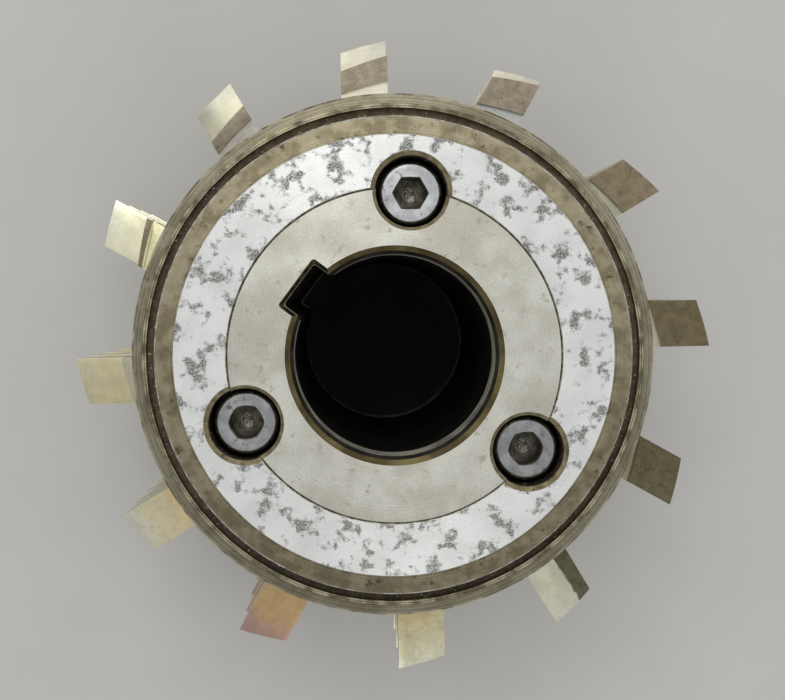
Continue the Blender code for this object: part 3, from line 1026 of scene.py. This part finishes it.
def washer_mesh():
    """A split ring of an eight-sided section, standing on height 0."""
    inner = WASHER_INNER_R
    outer = WASHER_OUTER_R
    high = WASHER_THICKNESS
    edge = WASHER_EDGE
    section = [
        (inner, edge), (inner + edge, 0.0), (outer - edge, 0.0), (outer, edge),
        (outer, high - edge), (outer - edge, high), (inner + edge, high), (inner, high - edge),
    ]
    bm = bmesh.new()
    rows = []
    for step in range(WASHER_STEPS + 1):
        row = []
        for radius, height in section:
            half = math.asin(WASHER_GAP / 2.0 / radius)
            angle = half + (TURN - 2.0 * half) * step / WASHER_STEPS
            row.append(bm.verts.new((radius * math.cos(angle), radius * math.sin(angle), height)))
        rows.append(row)
    for near, far in zip(rows, rows[1:]):
        band(bm, near, far, 0)
    bm.faces.new(rows[0])
    bm.faces.new(rows[-1])
    return outward(bm)


def build_washer(index, front, materials):
    side = side_name(front)
    matrix = fastener_matrix(index, front, WASHER_DEPTH)
    body = f"{side}_washer_{index + 1}"
    place(f"lock_washer_{side}_{index + 1}", washer_mesh(), matrix, materials, body)


# -------- finishes


def hub_materials():
    face = steel(
        "Hub face steel", srgb(226, 225, 215), srgb(201, 198, 185), blotch=13.0, lines=0.3,
        line_depth=0.14, stain=(srgb(180, 174, 158), 0.42, 3.5), turned=0.35, fine=0.2, side_light=0.1,
    )
    chamfer = steel(
        "Bore chamfer steel", srgb(132, 120, 82), srgb(88, 78, 52), rough=0.4, blotch=7.0, lines=0.3,
        turned=0.4,
    )
    # Painted shade: the bore wall below its lighter top band is near black.
    bore = steel(
        "Bore steel in painted shade", srgb(24, 26, 22), srgb(12, 14, 12), rough=0.85, blotch=7.0, metal=0.0,
        lines=0.3, sheen=0.05,
    )
    # The bore's lighter top band; with the near-black wall below it, a lit and a shaded copy of one steel.
    bore_top = steel(
        "Bore mouth steel", srgb(178, 174, 160), srgb(128, 124, 112), rough=0.55, metal=0.15, lines=0.3,
        blotch=5.0,
    )
    dark = steel("Oiled hidden steel", srgb(66, 60, 48), srgb(28, 25, 20), metal=0.6)
    body = steel(
        "Hub body steel", srgb(126, 119, 102), srgb(106, 99, 82), lines="level", blotch=7.0,
        line_depth=0.4, stain=(srgb(84, 76, 60), 0.38, 2.4),
    )
    mouth, well = well_materials("Hub")
    floor = steel("Screw hole steel", srgb(70, 64, 52), srgb(30, 27, 22), rough=0.5, metal=0.5)
    # Painted shade: near black for the deep keyway walls below the lighter band at each mouth; it also
    # colours the dark band at the foot of the bore chamfer.
    key = steel(
        "Keyway steel", srgb(40, 37, 30), srgb(16, 15, 12), rough=0.6, metal=0.0, lines="axial",
        blotch=4.0, sheen=0.15,
    )
    key_edge = steel("Keyway mouth steel", srgb(96, 84, 60), srgb(48, 42, 30), rough=0.4, blotch=1.8)
    slot = steel(
        "Rack slot steel", srgb(96, 90, 74), srgb(70, 65, 52), rough=0.45, lines="axial", blotch=5.0,
    )
    edges = steel("Hub edge steel", srgb(170, 162, 138), srgb(112, 102, 80), rough=0.4, blotch=2.0)
    return [face, chamfer, bore, dark, body, mouth, well, floor, key, key_edge, slot, edges, bore_top]


def well_materials(owner):
    mouth = steel(
        f"{owner} well mouth steel", srgb(136, 125, 95), srgb(104, 94, 69), rough=0.5, blotch=1.6,
        metal=0.45, stain=(srgb(70, 60, 42), 0.42, 1.8), fine=0.25,
    )
    wall = steel(
        f"{owner} well wall steel", srgb(84, 76, 60), srgb(34, 30, 24), rough=0.5, blotch=1.2, metal=0.4,
        corner_shade=0.4, fine=0.3, grit=True,
    )
    return mouth, wall


def cover_materials():
    land = steel(
        "Ground land steel", srgb(252, 253, 251), srgb(240, 241, 239), rough=0.3, blotch=8.0, lines=0.15,
        line_depth=0.06, turned=0.7, pits=(0.498, srgb(64, 62, 56)), depth=0.03, fine=0.08,
    )
    annulus = steel(
        "Brown annulus steel", srgb(163, 154, 129), srgb(130, 121, 97), blotch=3.5,
        stain=(srgb(82, 74, 56), 0.42, 2.2), lines=0.3, line_depth=0.5, turned=0.3, side_light=0.3,
    )
    wall = steel(
        "Oiled cover wall steel", srgb(110, 101, 82), srgb(84, 76, 60), rough=0.45, metal=0.6,
        lines="level", line_depth=0.35,
    )
    mouth, well = well_materials("Cover")
    edge = steel("Cover edge steel", srgb(226, 226, 220), srgb(160, 156, 140), rough=0.3, blotch=1.5)
    return [land, annulus, wall, mouth, well, edge]


def ring_materials():
    top = steel(
        "Ring steel", srgb(150, 144, 124), srgb(126, 120, 100), blotch=6.0, lines=0.32, line_depth=0.55,
        turned=0.5, stain=(srgb(100, 92, 72), 0.38, 3.0), fine=0.2, side_light=0.26,
    )
    wall = steel(
        "Ring side steel", srgb(148, 141, 120), srgb(128, 121, 100), rough=0.4, blotch=5.0, lines="level",
        line_depth=0.45, stain=(srgb(96, 88, 68), 0.38, 2.0),
    )
    lips = steel(
        "Ring lip steel", srgb(204, 198, 172), srgb(120, 112, 90), rough=0.3, blotch=3.5, turned=0.4,
    )
    bore = steel(
        "Oiled groove steel", srgb(104, 93, 71), srgb(76, 67, 50), rough=0.6, metal=0.0, blotch=1.5,
        fine=0.2, sheen=0.3, grit=True, side_light=0.25,
    )
    return [top, wall, lips, bore]


def shared_rack_materials():
    crests = steel(
        "Tooth crest steel", srgb(220, 214, 192), srgb(196, 189, 166), rough=0.34, lines="level",
        line_depth=0.3, stain=(srgb(156, 145, 116), 0.36, 1.6),
    )
    backs = steel(
        "Tooth back steel", srgb(204, 198, 176), srgb(180, 173, 150), rough=0.36, lines=0.3,
        line_depth=0.3, stain=(srgb(146, 135, 107), 0.36, 1.6),
    )
    roots = steel("Tooth root steel", srgb(158, 150, 128), srgb(118, 110, 88), blotch=2.5, corner_shade=0.4)
    cut_face = steel(
        "Cutting face steel", srgb(208, 204, 188), srgb(188, 183, 165), rough=0.3, blotch=4.0,
        lines="axial", line_depth=0.3, stain=(srgb(150, 140, 114), 0.34, 1.8),
    )
    rear_face = steel(
        "Rack back steel", srgb(140, 132, 112), srgb(116, 108, 90), blotch=4.0, lines="axial",
        line_depth=0.3, stain=(srgb(92, 82, 62), 0.36, 2.0),
    )
    tongue = steel("Rack tongue steel", srgb(96, 88, 72), srgb(66, 60, 48), metal=0.7, lines="axial")
    return [crests, backs, roots, cut_face, rear_face, tongue]


def flank_material(name, near, middle, tip, reach, stain, shift):
    """A ground flank: temper colours along it, grinding streaks and, behind reach, the brown skin."""
    look = Look(name)
    wander = look.minus(look.noise(3.5, 3.0, shift=shift), 0.5)
    along = look.plus(look.radius(), look.times(wander, TEMPER_WANDER))
    colour = look.mix(look.step(along, *TEMPER_MIDDLE), near, middle)
    colour = look.mix(look.step(along, *TEMPER_TIP), colour, tip)
    patch = look.step(look.noise(3.0, 4.0, shift=shift + 3.0), *TONE_STEP)
    colour = look.scale(colour, look.span(patch, 0.88, 1.0))
    streaks = look.rings(STREAK_PITCH)
    colour = look.scale(colour, look.span(streaks, 0.86, 1.1))
    grain = look.noise(0.4, 3.0, shift=shift)
    rough = look.plus(look.times(look.minus(grain, 0.5), 0.2), 0.34)
    if stain:
        specks = look.step(look.noise(1.3, 5.0, shift=shift + 12.0, rough=0.75), 0.52, 0.66)
        colour = look.mix(look.times(specks, 0.4), colour, stain)
    if reach:
        across = look.node("SeparateXYZ", {0: look.place}).outputs["Y"]
        sway = look.minus(look.noise(3.0, 2.0, shift=shift + 8.0), 0.5)
        across = look.plus(across, look.times(sway, SKIN_WANDER))
        skin = look.step(across, reach - SKIN_EDGE, reach + SKIN_EDGE)
        colour = look.mix(skin, colour, srgb(*BROWN))
        rough = look.plus(rough, look.times(skin, 0.1))
    height = look.plus(look.times(grain, 0.4), streaks)
    return look.finish(colour, rough, 0.9, height, 0.015, 0.4)


def rack_materials(row, shared):
    # The row's colours hold painted light and shade as well as its temper colours and stains.
    *colours, reach, stain = ROW_FINISH_AND_LIGHT[row]
    near, middle, tip, end_colour, neck_colour = (srgb(*colour) for colour in colours)
    stain = srgb(*stain) if stain else None
    label = f"{row + 1:02d}"
    shift = 17.0 * row
    flank = flank_material(f"Ground flank {label}", near, middle, tip, reach, stain, shift)
    end = steel(
        f"Rack end {label}", end_colour, darker(end_colour, 0.78), rough=0.46, blotch=2.0, metal=0.75,
        lines=0.3, line_depth=0.16, stain=(darker(end_colour, 0.6), 0.44, 1.6), shift=shift, fine=0.34,
        depth=0.03,
    )
    neck = steel(
        f"Rack neck {label}", neck_colour, darker(neck_colour, 0.88), rough=0.33, shift=shift, lines=0.3,
    )
    edge = steel(
        f"Rack edge {label}", srgb(*RACK_BRIGHT_EDGE), middle, rough=0.4, blotch=1.2, shift=shift,
        metal=0.6,
    )
    return [flank, end, neck, edge] + shared


def screw_top(index):
    tone = SCREW_TONE[index]
    light = darker(srgb(*SCREW_BRIGHT), tone)
    return steel(
        f"Screw top steel {index + 1}", light, darker(light, 0.72), rough=0.3, blotch=2.5, lines=0.22,
        line_depth=0.14, turned=0.5, stain=(darker(srgb(*SCREW_STAIN), tone), 0.42, 2.0),
        shift=7.0 * index,
    )


def screw_materials():
    side = steel(
        "Screw side steel", srgb(60, 56, 48), srgb(28, 26, 22), metal=0.7, blotch=2.0, corner_shade=0.4,
        grit=True,
    )
    socket = steel("Screw socket steel", srgb(96, 92, 78), srgb(54, 50, 42), metal=0.6, blotch=1.6)
    rim = steel("Screw socket rim steel", srgb(206, 204, 192), srgb(110, 106, 92), rough=0.36, blotch=0.9)
    centre = steel(
        "Screw socket centre steel", srgb(140, 136, 120), srgb(60, 58, 50), rough=0.34, blotch=0.5,
    )
    thread = steel("Screw thread steel", srgb(76, 74, 68), srgb(40, 38, 34), rough=0.36, metal=0.8)
    edge = steel("Screw edge steel", srgb(130, 126, 112), srgb(74, 70, 60), rough=0.36, blotch=1.5)
    return [side, socket, rim, centre, thread, edge]


def washer_materials():
    return [steel(
        "Lock washer steel", srgb(98, 94, 84), srgb(58, 54, 46), rough=0.38, metal=0.8, blotch=2.0,
        stain=(srgb(84, 70, 54), 0.4, 5.0),
    )]


# -------- stage


def build_floor():
    """A plain floor just under the rear face, with a dark spot of painted shade under the bore, which only
    shows through the bore.

    From below the object shows through the floor, and light reaches the faces that rest on it.
    """
    look = Look("Floor")
    spot = look.node("TexCoord").outputs["Object"]
    inputs = {"Vector": spot, "Scale": FLOOR_GRAIN, "Detail": 4.0}
    grain = look.node("TexNoise", inputs).outputs[0]
    colour = look.mix(grain, FLOOR_DARK, FLOOR_LIGHT)
    from_axis = look.node("VectorMath", {0: spot}, operation="LENGTH").outputs["Value"]
    # Painted shade: the floor turns near black around the axis, under the bore.
    colour = look.mix(look.step(from_axis, BORE_SHADE_R * BORE_SHADE_CORE, BORE_SHADE_R), BORE_SHADE_COLOUR, colour)
    look.finish(colour, FLOOR_ROUGH, 0.0)
    behind = look.node("NewGeometry").outputs["Backfacing"]
    travelled = look.node("LightPath").outputs["Ray Length"]
    near = look.math("LESS_THAN", travelled, FLOOR_REACH)
    outside = look.math("GREATER_THAN", from_axis, (BORE_R + BORE_CHAMFER) * MM)
    see_through = look.math("MAXIMUM", behind, look.times(near, outside))
    clear = look.node("BsdfTransparent").outputs[0]
    inputs = {0: see_through, 1: look.shader.outputs[0], 2: clear}
    shown = look.node("MixShader", inputs).outputs[0]
    look.feed(look.tree.nodes["Material Output"].inputs["Surface"], shown)
    bm = bmesh.new()
    bmesh.ops.create_circle(bm, cap_ends=True, segments=FLOOR_STEPS, radius=FLOOR_R)
    floor = new_object("floor", to_mesh(bm, "floor"))
    floor.location.z = -FLOOR_GAP
    floor.data.materials.append(look.material)


def build_world():
    """A pale studio dome, brighter towards +Y."""
    world = bpy.data.worlds.new("Studio")
    bpy.context.scene.world = world
    world.use_nodes = True
    tree = world.node_tree
    background = tree.nodes["Background"]
    background.inputs["Color"].default_value = WORLD_COLOUR
    towards = tree.nodes.new("ShaderNodeTexCoord")
    split = tree.nodes.new("ShaderNodeSeparateXYZ")
    level = tree.nodes.new("ShaderNodeMapRange")
    level.inputs["From Min"].default_value = -1.0
    level.inputs["To Min"].default_value = WORLD_DIM
    level.inputs["To Max"].default_value = WORLD_BRIGHT
    tree.links.new(towards.outputs["Generated"], split.inputs[0])
    tree.links.new(split.outputs["Y"], level.inputs["Value"])
    tree.links.new(level.outputs[0], background.inputs["Strength"])


def add_light(name, position, size, power, colour):
    data = bpy.data.lights.new(name, "AREA")
    data.shape = "DISK"
    data.size = size
    data.energy = power
    data.color = colour
    light = new_object(name, data)
    light.location = position
    aim = Vector((0.0, 0.0, LENGTH * MM)) - Vector(position)
    light.rotation_euler = aim.to_track_quat("-Z", "Y").to_euler()


def build_camera():
    data = bpy.data.cameras.new("camera")
    camera = new_object("camera", data)
    back = CAMERA_BACK.normalized()
    up = back.cross(CAMERA_RIGHT).normalized()
    axes = Matrix((up.cross(back), up, back)).transposed()
    camera.matrix_world = Matrix.Translation(CAMERA_POSITION * MM) @ axes.to_4x4()
    data.sensor_width = CAMERA_SENSOR
    data.lens = CAMERA_LENS
    data.shift_x, data.shift_y = CAMERA_SHIFT
    data.clip_start, data.clip_end = CAMERA_RANGE
    bpy.context.scene.camera = camera
    bpy.context.scene.view_settings.view_transform = "Standard"


# -------- build

build_hub(hub_materials())
cover_looks = cover_materials()
ring_looks = ring_materials()
screw_looks = screw_materials()
screw_tops = [screw_top(index) for index in range(SCREW_COUNT)]
washer_looks = washer_materials()
rack_shared = shared_rack_materials()
for row in range(RACK_COUNT):
    build_rack(row, rack_materials(row, rack_shared))
for front in (True, False):
    build_cover(front, cover_looks)
    build_ring(front, ring_looks)
    for index in range(SCREW_COUNT):
        build_screw(index, front, [screw_tops[index]] + screw_looks)
        build_washer(index, front, washer_looks)
build_floor()
build_world()
for light in LIGHTS:
    add_light(*light)
build_camera()
